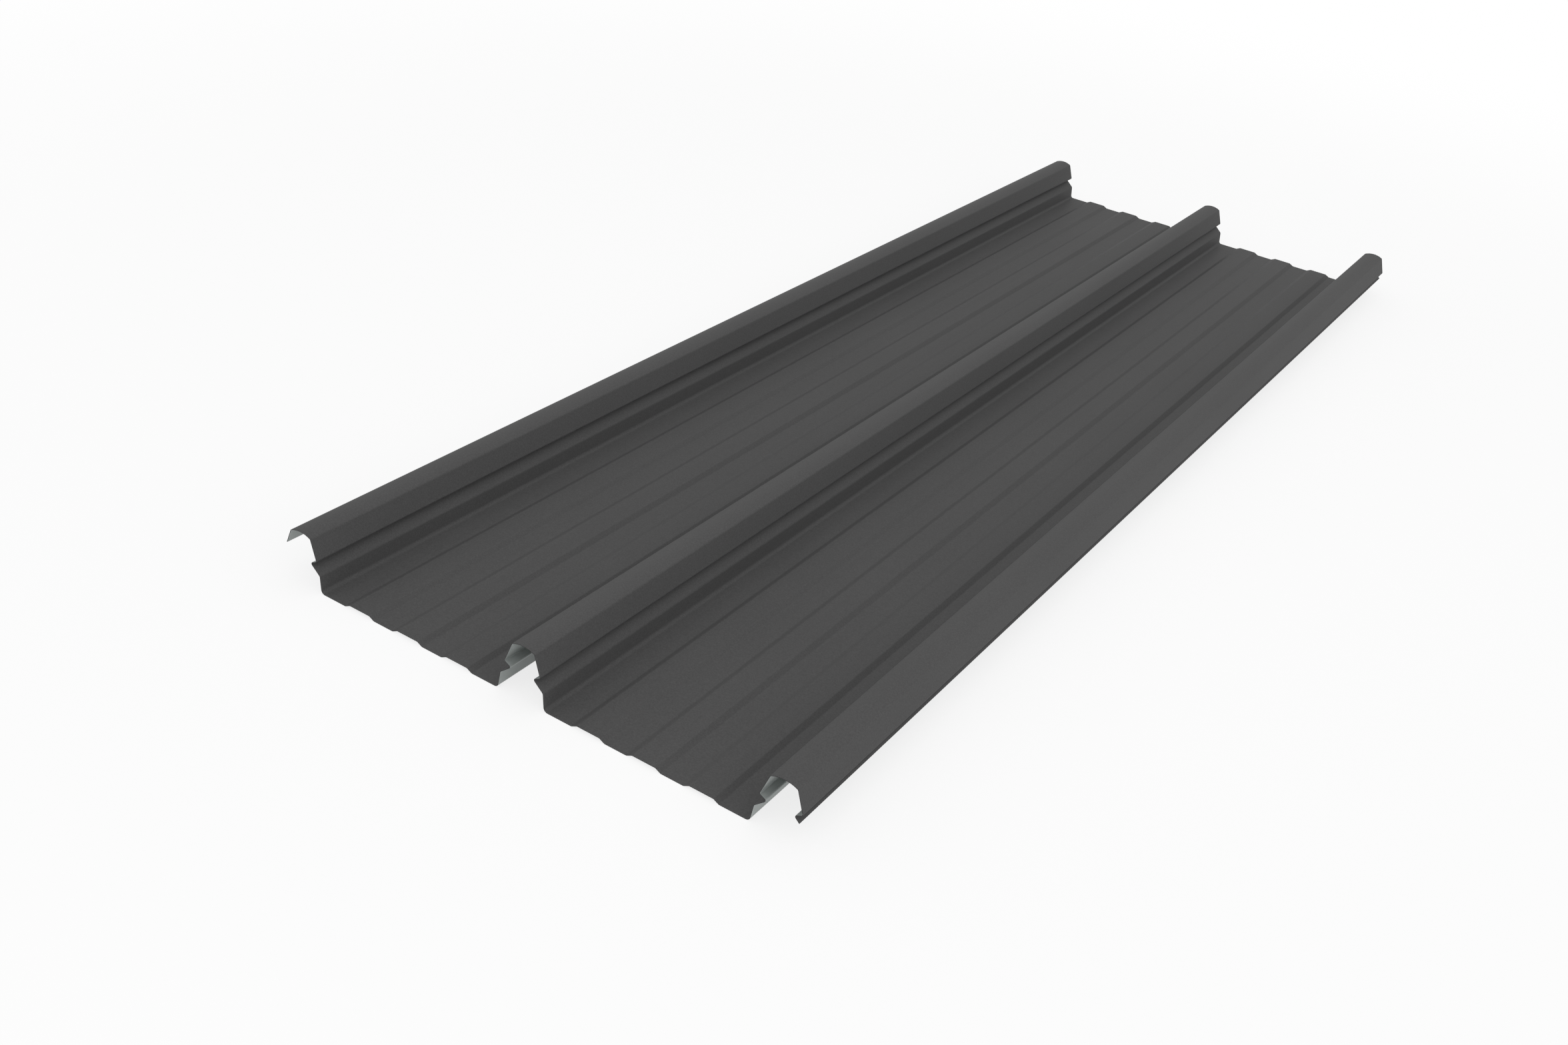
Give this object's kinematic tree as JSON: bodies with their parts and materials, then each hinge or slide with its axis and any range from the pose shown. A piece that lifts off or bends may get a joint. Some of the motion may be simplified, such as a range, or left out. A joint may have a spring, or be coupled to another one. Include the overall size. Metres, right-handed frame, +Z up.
{
  "type": "concealed fix roof panel",
  "caption": "Long roll-formed steel roof sheet with grooved clip-on ribs, flat pans with shallow flutes and open edge ribs that lap the next sheet.",
  "frame": {"origin": "middle of the panel's footprint, at the underside of its pans", "axes": "+X across the panel, from the rib with the short outer web to the rib whose outer web reaches below its groove; +Y along the length; +Z up, out of the painted side"},
  "size_m": [0.4357, 1.288, 0.0437],
  "materials": {
    "painted_steel": "matt charcoal paint, with a grey-green backing coat underneath"
  },
  "bodies": {
    "root": {"roof_panel": "painted_steel"}
  },
  "joints": []
}
